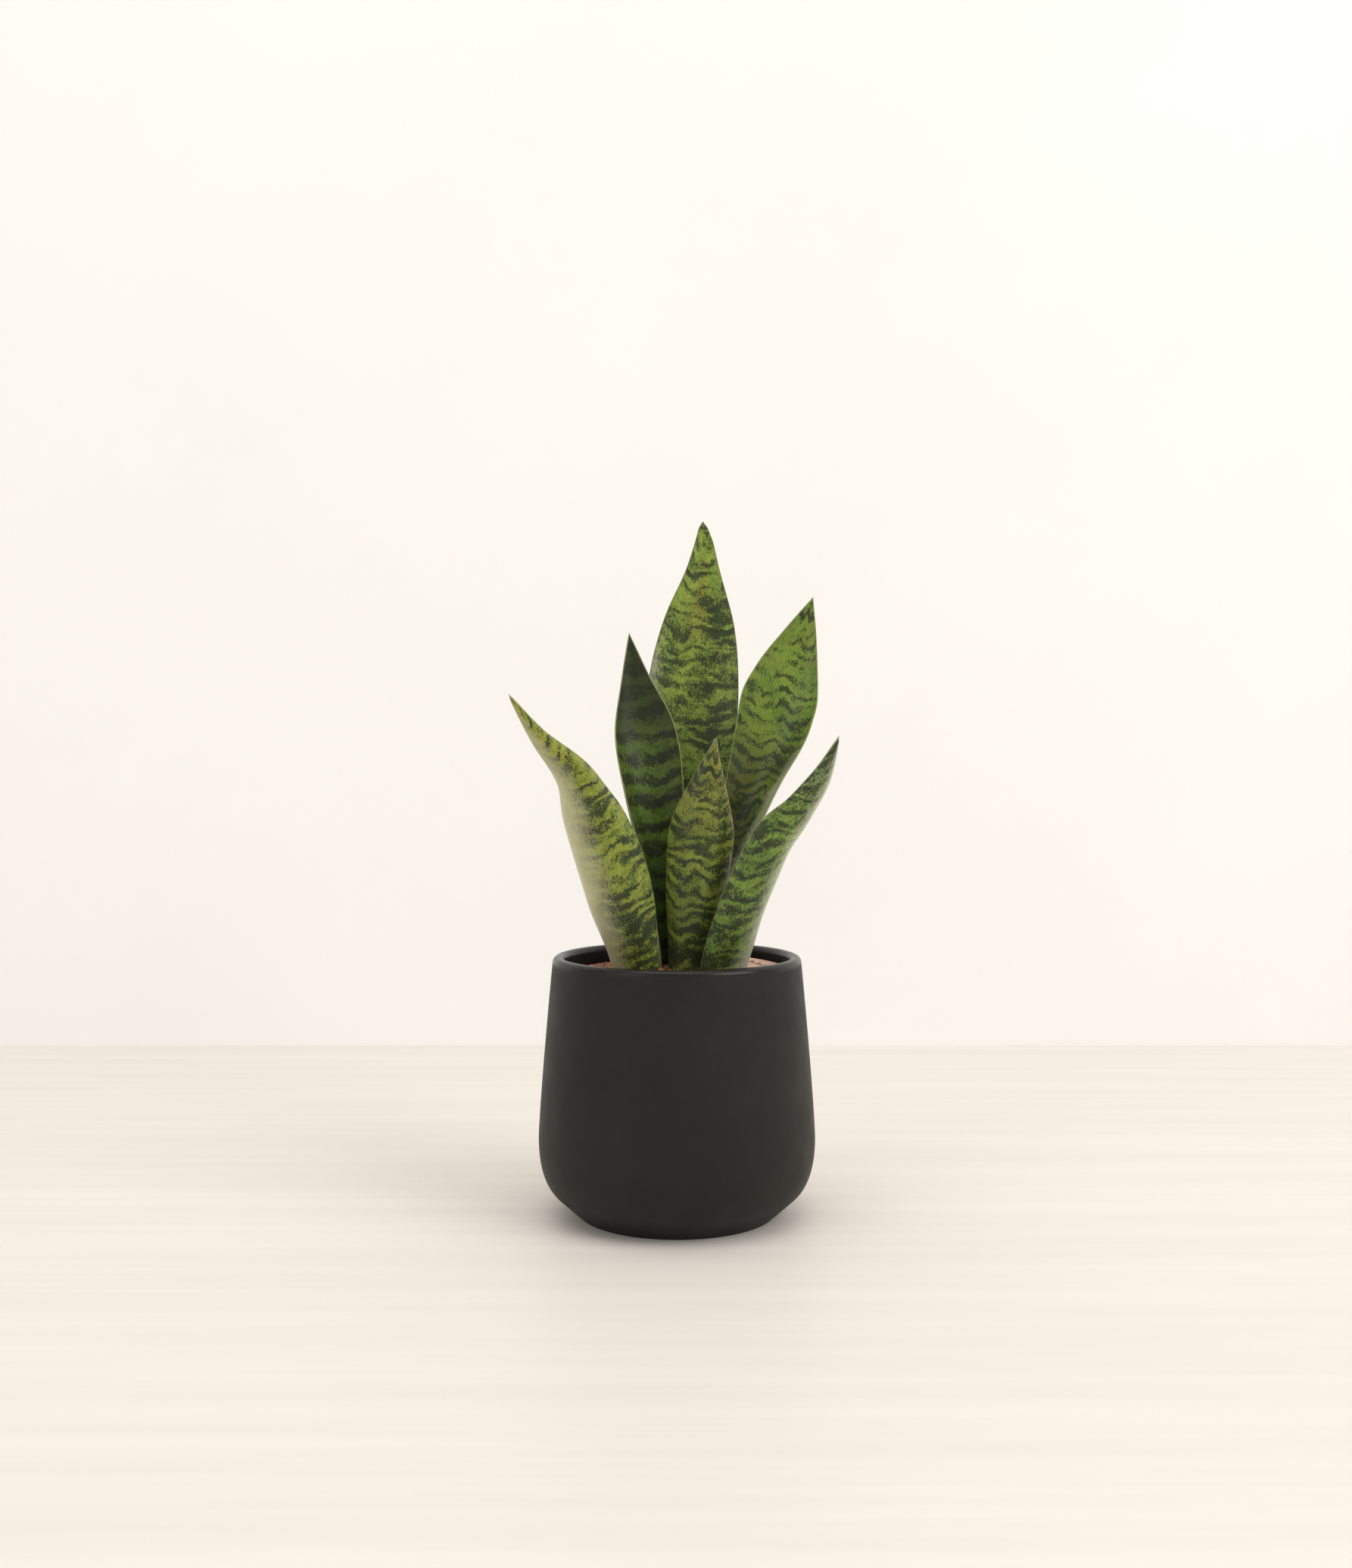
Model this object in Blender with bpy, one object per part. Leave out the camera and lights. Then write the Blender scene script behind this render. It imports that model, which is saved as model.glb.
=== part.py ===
"""A snake plant in a round black planter.

The frame stands on the floor: the origin is the middle of the planter's foot, +Z is up, and the
small front leaf faces -Y. Everything is in metres and degrees.
"""

import math

import bmesh
import bpy
import numpy as np
from mathutils import Matrix

# The gap that pieces resting on each other keep.
clearance = 0.0003

# Planter: a turned pot with a foot ring, a slanted base, a belly and a soft round lip.
potHeight = 0.139
footRadius = 0.0535
footRingWidth = 0.006
footRecess = 0.002
slantLength = 0.0165
slantAngle = 42
bellyRadius = 0.075
bellyHeight = 0.0416
rimRadius = 0.0675
taperPower = 1.2
wall = 0.0065
floorThickness = 0.008
drainRadius = 0.006
turnSteps = 56
bellySteps = 6
taperSteps = 7
lipSteps = 8

# Potting mix, the gravel over it and the datum that the plant stands at, all below the rim.
mixDrop = 0.016
gravelDrop = 0.010
gravelRise = 0.006
domeSteps = 8
plantDrop = 0.009

# Wooden plant marker, lying on the slope of the gravel.
markerRadius = 0.020
markerThickness = 0.003
markerSunk = 0.0014
markerWallGap = 0.0015
markerTurn = 10
markerSides = 56

# Rhizome and roots, under the leaves.
rootDepth = 0.026
rhizomeRadius = 0.036
rhizomeThickness = 0.014
rhizomeCentre = (0.002, 0.001)
rhizomeSteps = 32
rootCount = 6
rootRadius = 0.0022
rootReach = 0.012
rootDrop = 0.036
rootThinning = 0.55
rootSteps = 8
rootSides = 8

# Leaves. The blade is thickest along its middle and thins to the margins and the tip.
bladeThickness = 0.0028
marginThickness = 0.0006
footThickening = 1.15
tipThinning = 0.9
tipLength = 0.002
leafStations = 26
leafColumns = 8
buriedNarrowing = 0.85

# Each leaf has its height above the datum and, from the datum up, rows of: x and y of its middle
# line in mm, share of the height, half width in mm, the way its hollow side faces, and how far
# each half curls round.
leaves = {
    "leaf_tall_back": {
        "height": 0.247,
        "colour": (0.115, 0.155, 0.04),
        "rows": (
            (3, 25, 0.00, 13, 270, 46),
            (5, 28, 0.17, 18, 270, 40),
            (7, 29, 0.40, 23, 270, 40),
            (8.5, 29, 0.61, 27, 272, 35),
            (12, 28, 0.78, 20, 275, 32),
            (14, 27, 0.91, 7, 278, 30),
            (14, 26, 1.00, 0.6, 278, 20),
        ),
    },
    "leaf_dark_left": {
        "height": 0.183,
        "colour": (0.05, 0.07, 0.02),
        "rows": (
            (-9, 4, 0.00, 12, 340, 50),
            (-11, 5, 0.23, 16, 322, 54),
            (-15, 7, 0.52, 19.5, 295, 50),
            (-18.5, 8, 0.73, 17, 280, 42),
            (-23, 8, 0.88, 7.5, 275, 36),
            (-26, 8, 1.00, 0.6, 275, 20),
        ),
    },
    "leaf_front_left": {
        "height": 0.148,
        "colour": (0.13, 0.15, 0.035),
        "rows": (
            (-26, -16, 0.00, 17, 55, 58),
            (-36, -20, 0.27, 24.5, 60, 68),
            (-44.5, -23, 0.49, 22.5, 64, 62),
            (-56, -25, 0.70, 12.5, 66, 52),
            (-72, -26, 0.86, 5, 70, 45),
            (-87.5, -27, 1.00, 0.6, 80, 20),
        ),
    },
    "leaf_front_small": {
        "height": 0.125,
        "colour": (0.095, 0.115, 0.028),
        "rows": (
            (6.3, -12, 0.00, 11.5, 90, 52),
            (10.5, -17, 0.41, 18.5, 88, 50),
            (13, -19.5, 0.63, 18.5, 86, 45),
            (16, -21, 0.80, 11, 86, 40),
            (18.5, -21, 0.92, 4.5, 86, 30),
            (20.5, -21, 1.00, 0.6, 86, 20),
        ),
    },
    "leaf_right_back": {
        "height": 0.204,
        "colour": (0.12, 0.17, 0.04),
        "rows": (
            (12, 8, 0.00, 11.5, 190, 54),
            (21.5, 9, 0.13, 15, 197, 62),
            (36, 12, 0.33, 18, 212, 64),
            (47, 14.5, 0.51, 20, 235, 60),
            (53.5, 16, 0.66, 21, 256, 50),
            (62, 17, 0.79, 16.5, 266, 38),
            (69, 17.5, 0.91, 8.5, 270, 32),
            (75, 18, 1.00, 0.6, 270, 20),
        ),
    },
    "leaf_front_right": {
        "height": 0.126,
        "colour": (0.1, 0.13, 0.035),
        "rows": (
            (24.5, -22, 0.00, 12.5, 96, 36),
            (36.5, -26, 0.24, 16, 118, 62),
            (47.5, -28.5, 0.45, 16, 124, 62),
            (57, -30, 0.59, 13.5, 122, 56),
            (68.5, -31, 0.70, 10, 120, 50),
            (78, -31.5, 0.82, 7, 120, 45),
            (85, -32, 1.00, 0.6, 120, 20),
        ),
    },
}

datum = potHeight - plantDrop
gravelEdge = potHeight - gravelDrop


def clearScene():
    for thing in list(bpy.data.objects):
        bpy.data.objects.remove(thing, do_unlink=True)


def makeMaterial(name, colour, roughness, metallic=0.0):
    material = bpy.data.materials.new(name)
    material.use_nodes = True
    shader = material.node_tree.nodes["Principled BSDF"]
    shader.inputs["Base Color"].default_value = (*colour, 1)
    shader.inputs["Roughness"].default_value = roughness
    shader.inputs["Metallic"].default_value = metallic
    material.diffuse_color = (*colour, 1)
    return material


def addObject(name, bm, material=None):
    mesh = bpy.data.meshes.new(name)
    bmesh.ops.recalc_face_normals(bm, faces=bm.faces)
    bm.to_mesh(mesh)
    bm.free()
    mesh.shade_smooth()
    mesh.set_sharp_from_angle(angle=math.radians(35))
    thing = bpy.data.objects.new(name, mesh)
    bpy.context.scene.collection.objects.link(thing)
    if material:
        mesh.materials.append(material)
    else:
        thing.hide_render = True
        thing.display_type = "WIRE"
    return thing


def cutWith(target, cutter):
    boolean = target.modifiers.new("cut " + cutter.name, "BOOLEAN")
    boolean.operation = "DIFFERENCE"
    boolean.solver = "EXACT"
    boolean.object = cutter


def turned(profile, steps=turnSteps):
    """A solid of revolution. Its profile starts and ends on the axis, or closes on itself round a hole."""
    bm = bmesh.new()
    corners = [bm.verts.new((radius, 0, height)) for radius, height in profile]
    edges = [bm.edges.new(pair) for pair in zip(corners, corners[1:])]
    if profile[0][0] > 0:
        edges.append(bm.edges.new((corners[-1], corners[0])))
    bmesh.ops.spin(
        bm,
        geom=corners + edges,
        axis=(0, 0, 1),
        cent=(0, 0, 0),
        steps=steps,
        angle=math.tau,
        use_merge=True,
        use_duplicate=False,
    )
    bmesh.ops.remove_doubles(bm, verts=bm.verts, dist=0.00001)
    return bm


def joinLoops(bm, loops):
    for below, above in zip(loops, loops[1:]):
        for a in range(len(below)):
            b = (a + 1) % len(below)
            bm.faces.new((below[a], below[b], above[b], above[a]))


# Planter


def arcPoints(centre, radius, start, end, steps):
    turns = [math.radians(start + (end - start) * step / steps) for step in range(steps + 1)]
    return [(centre[0] + radius * math.cos(a), centre[1] + radius * math.sin(a)) for a in turns]


def bendPoints(start, bend, end, steps):
    """A quadratic curve from start to end that heads for bend first."""
    points = []
    for step in range(steps + 1):
        t = step / steps
        blend = ((1 - t) ** 2, 2 * t * (1 - t), t * t)
        points.append(tuple(sum(b * p[i] for b, p in zip(blend, (start, bend, end))) for i in (0, 1)))
    return points


def outerProfile():
    """The planter's side from the foot up to where the lip's rounding begins."""
    angle = math.radians(slantAngle)
    slantTop = (footRadius + slantLength * math.cos(angle), slantLength * math.sin(angle))
    bend = (bellyRadius, slantTop[1] + (bellyRadius - slantTop[0]) * math.tan(angle))
    points = [(footRadius, 0.0)] + bendPoints(slantTop, bend, (bellyRadius, bellyHeight), bellySteps)
    lipStart = potHeight - wall / 2
    for step in range(1, taperSteps + 1):
        t = step / taperSteps
        radius = bellyRadius - (bellyRadius - rimRadius) * t**taperPower
        points.append((radius, bellyHeight + (lipStart - bellyHeight) * t))
    return points


def hollowRadiusAt(height, gap=0.0):
    """The planter's inside radius at a height, taken in by gap."""
    radii, heights = zip(*outerProfile())
    return float(np.interp(height, heights, radii)) - wall - gap


def hollowSide(bottom, top, gap=0.0):
    """The planter's inside from bottom to top, with a corner at each of the outside's corners."""
    between = [height for _, height in outerProfile() if bottom + 0.001 < height < top - 0.001]
    return [(hollowRadiusAt(height, gap), height) for height in [bottom] + between + [top]]


def planterProfile():
    lipCentre = (rimRadius - wall / 2, potHeight - wall / 2)
    lip = arcPoints(lipCentre, wall / 2, 0, 180, lipSteps)
    hollow = hollowSide(floorThickness, lipCentre[1])[::-1]
    ringInside = footRadius - footRingWidth
    underside = [(drainRadius, footRecess), (ringInside - footRecess, footRecess), (ringInside, 0)]
    return underside + outerProfile()[:-1] + lip[:-1] + hollow + [(drainRadius, floorThickness)]


def makePlanter():
    black = makeMaterial("planter_black", (0.022, 0.02, 0.018), 0.55)
    addObject("planter", turned(planterProfile()), black)


# Leaves


def curveThrough(places, values, wanted):
    """A smooth curve through values at places, read at the wanted places."""
    slopes = np.diff(values, axis=0) / np.diff(places)[:, None]
    gaps = np.diff(places)[:, None]
    middle = (gaps[1:] * slopes[:-1] + gaps[:-1] * slopes[1:]) / (gaps[1:] + gaps[:-1])
    tangents = np.vstack([slopes[:1], middle, slopes[-1:]])
    index = np.clip(np.searchsorted(places, wanted, side="right") - 1, 0, len(places) - 2)
    gap = gaps[index]
    t = (wanted[:, None] - places[index][:, None]) / gap
    ahead = t * t * (3 - 2 * t)
    leave = t * (1 - t) ** 2
    arrive = t * t * (t - 1)
    start, end = values[index], values[index + 1]
    return start + (end - start) * ahead + gap * (leave * tangents[index] + arrive * tangents[index + 1])


def leafRows(leaf):
    """The leaf's rows in metres and radians, with two more under the soil."""
    rows = np.array(leaf["rows"], float)
    rows[:, [0, 1, 3]] *= 0.001
    rows[:, 2] = datum + rows[:, 2] * leaf["height"]
    rows[:, 4:] = np.radians(rows[:, 4:])
    foot, bend = rows[0].copy(), rows[0].copy()
    foot[2] -= rootDepth
    foot[3] *= buriedNarrowing
    bend[2] -= rootDepth / 2
    return np.vstack([foot, bend, rows])


def leafRings(leaf, grow=0.0):
    """Rings of points round the blade from its foot to near its tip, grown outwards by grow."""
    rows = leafRows(leaf)
    steps = np.linalg.norm(np.diff(rows[:, :3], axis=0), axis=1)
    places = np.append(0, np.cumsum(steps))
    wanted = np.linspace(0, places[-1], leafStations)
    middle, halfWidth, facing, curl = np.split(curveThrough(places, rows, wanted), (3, 4, 5), axis=1)
    along = np.gradient(middle, axis=0)
    along /= np.linalg.norm(along, axis=1)[:, None]
    hollow = np.hstack([np.cos(facing), np.sin(facing), np.zeros_like(facing)])
    hollow -= along * (hollow * along).sum(axis=1)[:, None]
    hollow /= np.linalg.norm(hollow, axis=1)[:, None]
    across = np.cross(along, hollow)
    halfWidth = np.maximum(halfWidth, marginThickness)
    share = wanted[:, None] / places[-1]
    thickness = marginThickness + (bladeThickness - marginThickness) * (footThickening - tipThinning * share)
    column = np.linspace(-1, 1, leafColumns)
    radius = halfWidth / curl
    turn = curl * column
    body = marginThickness + (thickness - marginThickness) * np.sqrt(1 - column**2)
    edge = 1 + grow / halfWidth
    rings = []
    for depth, order in ((-grow, 1), (body + grow, -1)):
        reach = (radius + depth) * np.sin(turn * edge)
        sag = radius - (radius + depth) * np.cos(turn * edge)
        side = middle[:, None] + across[:, None] * reach[..., None] + hollow[:, None] * sag[..., None]
        rings.append(side[:, ::order])
    return np.concatenate(rings, axis=1), middle[-1] + along[-1] * tipLength


def leafSolid(leaf, grow=0.0, top=None):
    """The blade as a closed solid, or only its stretch up to a height."""
    rings, tip = leafRings(leaf, grow)
    if grow:
        rings[0, :, 2] -= grow
    if top:
        rings = rings[: int(np.argmax(rings[:, :, 2].min(axis=1) > top)) + 1]
    bm = bmesh.new()
    loops = [[bm.verts.new(point) for point in ring] for ring in rings]
    joinLoops(bm, loops)
    bm.faces.new(loops[0])
    if top:
        bm.faces.new(loops[-1])
    else:
        point = bm.verts.new(tip)
        for a in range(len(loops[-1])):
            bm.faces.new((loops[-1][a], loops[-1][(a + 1) % len(loops[-1])], point))
    return bm


def makeLeaves():
    for name, leaf in leaves.items():
        addObject(name, leafSolid(leaf), makeMaterial(name + "_green", leaf["colour"], 0.35))


def leafCutters():
    top = potHeight
    return [addObject("room_for_" + name, leafSolid(leaf, clearance, top)) for name, leaf in leaves.items()]


# Rhizome


def rhizomeSolid(grow=0.0):
    """A flat rounded rootstock whose top meets the leaves' feet."""
    top = datum - rootDepth - clearance + grow
    half = rhizomeThickness / 2 + grow
    bm = turned(
        [(0, top - 2 * half)]
        + arcPoints((rhizomeRadius + grow - half, top - half), half, -90, 90, 8)
        + [(0, top)],
        rhizomeSteps,
    )
    bmesh.ops.translate(bm, verts=bm.verts, vec=(*rhizomeCentre, 0))
    return bm


def rootSolid(index, grow=0.0):
    """A root that leaves the rootstock's edge and bends down, thinning to its end."""
    direction = math.tau * (index + 0.3) / rootCount
    begin = rhizomeRadius - rhizomeThickness / 2
    height = datum - rootDepth - clearance - rhizomeThickness / 2
    reach = rhizomeThickness / 2 + rootReach
    frame = Matrix.Translation((*rhizomeCentre, 0)) @ Matrix.Rotation(direction, 4, "Z")
    bm = bmesh.new()
    loops = []
    for step in range(rootSteps + 1):
        t = step / rootSteps
        bend = t * math.pi / 2
        out = begin + reach * math.sin(bend)
        drop = rootDrop * (1 - math.cos(bend))
        lean = math.atan2(rootDrop * math.sin(bend), reach * math.cos(bend))
        size = rootRadius * (1 - rootThinning * t) + grow
        loop = []
        for side in range(rootSides):
            turn = math.tau * side / rootSides
            up = size * math.cos(turn)
            place = (out + up * math.sin(lean), size * math.sin(turn), height - drop + up * math.cos(lean))
            loop.append(bm.verts.new(place))
        loops.append(loop)
    joinLoops(bm, loops)
    bm.faces.new(loops[0])
    bm.faces.new(loops[-1])
    for vert in loops[-1]:
        vert.co.z -= grow
    bmesh.ops.transform(bm, verts=bm.verts, matrix=frame)
    return bm


def makeRhizome():
    pale = makeMaterial("rhizome_buff", (0.42, 0.27, 0.13), 0.7)
    rhizome = addObject("rhizome", rhizomeSolid(), pale)
    for index in range(rootCount):
        root = addObject(f"root_{index + 1}", rootSolid(index))
        union = rhizome.modifiers.new(root.name, "BOOLEAN")
        union.operation = "UNION"
        union.solver = "EXACT"
        union.object = root


def rhizomeCutters():
    cutters = [addObject("room_for_rhizome", rhizomeSolid(clearance))]
    for index in range(rootCount):
        cutters.append(addObject(f"room_for_root_{index + 1}", rootSolid(index, clearance)))
    return cutters


# Marker


def gravelHeightAt(distance):
    edge = hollowRadiusAt(gravelEdge)
    return gravelEdge + gravelRise * (1 - (distance / edge) ** 2)


def placeMarker(bm):
    """Lays a shape, made flat about the origin, on the slope of the gravel at the right."""
    distance = hollowRadiusAt(gravelEdge) - markerWallGap - markerRadius
    slope = math.atan(2 * gravelRise * distance / hollowRadiusAt(gravelEdge) ** 2)
    height = gravelHeightAt(distance) - markerSunk
    tilt = Matrix.Rotation(slope, 3, "Y")
    turn = Matrix.Rotation(math.radians(markerTurn), 3, "Z")
    bmesh.ops.rotate(bm, verts=bm.verts, cent=(0, 0, 0), matrix=tilt)
    bmesh.ops.translate(bm, verts=bm.verts, vec=(distance, 0, height))
    bmesh.ops.rotate(bm, verts=bm.verts, cent=(0, 0, 0), matrix=turn)


def discSolid(grow=0.0):
    bm = bmesh.new()
    bmesh.ops.create_cone(
        bm,
        cap_ends=True,
        segments=markerSides,
        radius1=markerRadius + grow,
        radius2=markerRadius + grow,
        depth=markerThickness + 2 * grow,
    )
    bmesh.ops.translate(bm, verts=bm.verts, vec=(0, 0, markerThickness / 2))
    placeMarker(bm)
    return bm


def makeMarker():
    tan = makeMaterial("marker_wood", (0.5, 0.3, 0.19), 0.6)
    addObject("plant_marker", discSolid(), tan)


# Potting mix and gravel


def makeMix(cutters):
    brown = makeMaterial("potting_mix_brown", (0.05, 0.03, 0.018), 0.9)
    top = potHeight - mixDrop
    bottom = floorThickness + clearance
    profile = [(0, bottom)] + hollowSide(bottom, top, clearance) + [(0, top)]
    mix = addObject("potting_mix", turned(profile), brown)
    for cutter in cutters:
        cutWith(mix, cutter)


def makeGravel(cutters):
    copper = makeMaterial("gravel_copper", (0.16, 0.07, 0.04), 0.6)
    bottom = potHeight - mixDrop + clearance
    edge = hollowRadiusAt(gravelEdge, clearance)
    radii = [edge * (1 - step / domeSteps) for step in range(domeSteps + 1)]
    dome = [(radius, gravelHeightAt(radius)) for radius in radii]
    profile = [(0, bottom), (hollowRadiusAt(bottom, clearance), bottom)] + dome
    gravel = addObject("gravel", turned(profile), copper)
    for cutter in cutters:
        cutWith(gravel, cutter)


def main():
    clearScene()
    makePlanter()
    makeLeaves()
    makeRhizome()
    makeMarker()
    leafRoom = leafCutters()
    makeMix(leafRoom + rhizomeCutters())
    markerSeat = addObject("seat_for_marker", discSolid(clearance))
    makeGravel(leafRoom + [markerSeat])


main()
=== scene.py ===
import math
import random

import bmesh
import bpy
import numpy as np
from mathutils import Matrix, Vector


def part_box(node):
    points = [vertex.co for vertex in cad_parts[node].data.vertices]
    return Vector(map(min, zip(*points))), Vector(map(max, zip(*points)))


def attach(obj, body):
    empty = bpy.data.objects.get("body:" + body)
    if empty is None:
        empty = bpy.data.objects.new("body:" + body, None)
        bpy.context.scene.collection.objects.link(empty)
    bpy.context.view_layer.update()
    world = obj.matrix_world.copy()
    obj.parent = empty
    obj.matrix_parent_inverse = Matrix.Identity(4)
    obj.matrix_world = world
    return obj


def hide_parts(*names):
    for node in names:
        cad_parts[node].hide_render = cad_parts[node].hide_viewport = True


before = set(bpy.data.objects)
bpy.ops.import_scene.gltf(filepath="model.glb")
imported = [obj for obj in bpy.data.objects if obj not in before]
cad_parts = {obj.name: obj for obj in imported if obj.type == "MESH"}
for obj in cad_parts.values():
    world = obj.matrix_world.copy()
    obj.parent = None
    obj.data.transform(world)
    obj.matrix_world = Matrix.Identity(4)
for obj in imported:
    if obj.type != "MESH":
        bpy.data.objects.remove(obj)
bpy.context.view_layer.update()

print("frame loaded:", ", ".join(sorted(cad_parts)))


# Camera and studio

camera = {"lens": 35, "sensor": 36, "place": (-0.0005, -0.829, 0.2386), "tilt": 89.55}
cameraData = bpy.data.cameras.new("camera")
cameraData.lens = camera["lens"]
cameraData.sensor_width = camera["sensor"]
cameraObject = bpy.data.objects.new("camera", cameraData)
cameraObject.location = camera["place"]
cameraObject.rotation_euler = (math.radians(camera["tilt"]), 0, 0)
bpy.context.scene.collection.objects.link(cameraObject)
bpy.context.scene.camera = cameraObject
bpy.context.scene.view_settings.view_transform = "Standard"


# Small tools for materials: each makes one node and hands back its output

def newMaterial(name):
    made = bpy.data.materials.new(name)
    made.use_nodes = True
    return made, made.node_tree, made.node_tree.nodes["Principled BSDF"]


def feed(tree, socket, value):
    if isinstance(value, bpy.types.NodeSocket):
        tree.links.new(value, socket)
    elif isinstance(value, (tuple, list)) and len(value) == 3 and socket.type == "RGBA":
        socket.default_value = (*value, 1)
    else:
        socket.default_value = value


def sums(tree, operation, first, second=0.0, third=0.0):
    made = tree.nodes.new("ShaderNodeMath")
    made.operation = operation
    for socket, value in zip(made.inputs, (first, second, third)):
        feed(tree, socket, value)
    return made.outputs[0]


def combine(tree, x, y, z=0.0):
    made = tree.nodes.new("ShaderNodeCombineXYZ")
    for socket, value in zip(made.inputs, (x, y, z)):
        feed(tree, socket, value)
    return made.outputs[0]


def split(tree, vector):
    made = tree.nodes.new("ShaderNodeSeparateXYZ")
    tree.links.new(vector, made.inputs[0])
    return made.outputs


def noise(tree, vector, scale, detail=2.0, roughness=0.5, distortion=0.0, shift=0.0):
    made = tree.nodes.new("ShaderNodeTexNoise")
    made.noise_dimensions = "4D"
    tree.links.new(vector, made.inputs["Vector"])
    made.inputs["W"].default_value = shift
    made.inputs["Scale"].default_value = scale
    made.inputs["Detail"].default_value = detail
    made.inputs["Roughness"].default_value = roughness
    made.inputs["Distortion"].default_value = distortion
    return made.outputs["Fac"]


def between(tree, value, low, high, atLow=0.0, atHigh=1.0):
    made = tree.nodes.new("ShaderNodeMapRange")
    made.interpolation_type = "SMOOTHSTEP"
    feed(tree, made.inputs["Value"], value)
    feed(tree, made.inputs["From Min"], low)
    feed(tree, made.inputs["From Max"], high)
    made.inputs["To Min"].default_value = atLow
    made.inputs["To Max"].default_value = atHigh
    return made.outputs["Result"]


def curve(tree, value, points):
    made = tree.nodes.new("ShaderNodeFloatCurve")
    line = made.mapping.curves[0]
    line.points[0].location, line.points[1].location = points[0], points[-1]
    for point in points[1:-1]:
        line.points.new(*point)
    made.mapping.update()
    feed(tree, made.inputs["Value"], value)
    return made.outputs[0]


def blend(tree, share, first, second):
    made = tree.nodes.new("ShaderNodeMix")
    made.data_type = "RGBA"
    feed(tree, made.inputs[0], share)
    feed(tree, made.inputs[6], first)  # sockets 6 and 7 are the two colours
    feed(tree, made.inputs[7], second)
    return made.outputs[2]


def stretched(tree, vector, scale, turn=0.0):
    made = tree.nodes.new("ShaderNodeMapping")
    tree.links.new(vector, made.inputs["Vector"])
    made.inputs["Rotation"].default_value = (0, 0, turn)
    made.inputs["Scale"].default_value = scale
    return made.outputs["Vector"]


def coordinates(tree):
    return tree.nodes.new("ShaderNodeTexCoord").outputs["Object"]


def painted(tree, name):
    made = tree.nodes.new("ShaderNodeAttribute")
    made.attribute_name = name
    return made


def bump(tree, shader, height, distance, strength):
    made = tree.nodes.new("ShaderNodeBump")
    made.inputs["Strength"].default_value = strength
    made.inputs["Distance"].default_value = distance
    tree.links.new(height, made.inputs["Height"])
    tree.links.new(made.outputs["Normal"], shader.inputs["Normal"])


def finishPiece(name, bm, material, sharp=40):
    mesh = bpy.data.meshes.new(name)
    bm.to_mesh(mesh)
    bm.free()
    mesh.shade_smooth()
    mesh.set_sharp_from_angle(angle=math.radians(sharp))
    mesh.materials.append(material)
    piece = bpy.data.objects.new(name, mesh)
    bpy.context.scene.collection.objects.link(piece)
    return piece


# Floor, wall and lights

studio = {
    "wallDistance": 0.50,
    "floorHalf": 3.0,
    "wallHeight": 2.6,
    "floorColour": (0.80, 0.752, 0.69),
    "wallColour": (0.93, 0.917, 0.90),
    "floorGrain": (2, 55, 1),
    "wallGrain": (1, 1, 1),
    "worldColour": (1.0, 0.985, 0.962),
    "worldStrength": 0.57,
    "dimming": 0.94,
    "lampAim": (0, 0, 0.16),
}

# Each lamp: place, width and height, power in watts, colour.
lamps = {
    "key": ((3.0, -1.9, 2.5), (2.6, 2.6), 80, (1, 0.985, 0.965)),
    "fill": ((-2.6, -2.4, 1.6), (2.4, 2.4), 20, (1, 0.99, 0.975)),
    "top": ((-0.2, -0.6, 2.8), (2.4, 2.0), 22, (1, 0.99, 0.975)),
}


def paleSurface(name, colour, along, gloss):
    made, tree, shader = newMaterial(name)
    place = stretched(tree, coordinates(tree), along)
    tone = noise(tree, place, 1.0, 6, 0.6)
    shade = between(tree, tone, 0.3, 0.7)
    dim = tuple(c * studio["dimming"] for c in colour)
    tree.links.new(blend(tree, shade, dim, colour), shader.inputs["Base Color"])
    shader.inputs["Roughness"].default_value = gloss
    shader.inputs["Specular IOR Level"].default_value = 0.35
    return made


def flatSheet(tilt, shift):
    bm = bmesh.new()
    bmesh.ops.create_grid(bm, x_segments=2, y_segments=2, size=studio["floorHalf"])
    bmesh.ops.rotate(bm, verts=bm.verts, matrix=Matrix.Rotation(math.radians(tilt), 3, "X"))
    bmesh.ops.translate(bm, verts=bm.verts, vec=shift)
    return bm


def makeStage():
    behind = studio["wallDistance"] - studio["floorHalf"]
    lift = studio["wallHeight"] - studio["floorHalf"]
    floorFinish = paleSurface("pale_floor", studio["floorColour"], studio["floorGrain"], 0.5)
    wallFinish = paleSurface("pale_wall", studio["wallColour"], studio["wallGrain"], 0.9)
    floor = finishPiece("floor", flatSheet(0, (0, behind, 0)), floorFinish)
    wall = finishPiece("wall", flatSheet(90, (0, studio["wallDistance"], lift)), wallFinish)


def addLamp(name, place, size, power, colour):
    lamp = bpy.data.lights.new(name, "AREA")
    lamp.shape = "RECTANGLE"
    lamp.size, lamp.size_y = size
    lamp.energy = power
    lamp.color = colour
    holder = bpy.data.objects.new(name, lamp)
    holder.location = place
    aim = Vector(studio["lampAim"]) - Vector(place)
    holder.rotation_euler = aim.to_track_quat("-Z", "Y").to_euler()
    bpy.context.scene.collection.objects.link(holder)


def makeLights():
    world = bpy.data.worlds.new("studio")
    world.use_nodes = True
    background = world.node_tree.nodes["Background"]
    background.inputs["Color"].default_value = (*studio["worldColour"], 1)
    background.inputs["Strength"].default_value = studio["worldStrength"]
    bpy.context.scene.world = world
    for name, setting in lamps.items():
        addLamp(name, *setting)


makeStage()
makeLights()
print("studio ready")


# Planter

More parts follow.
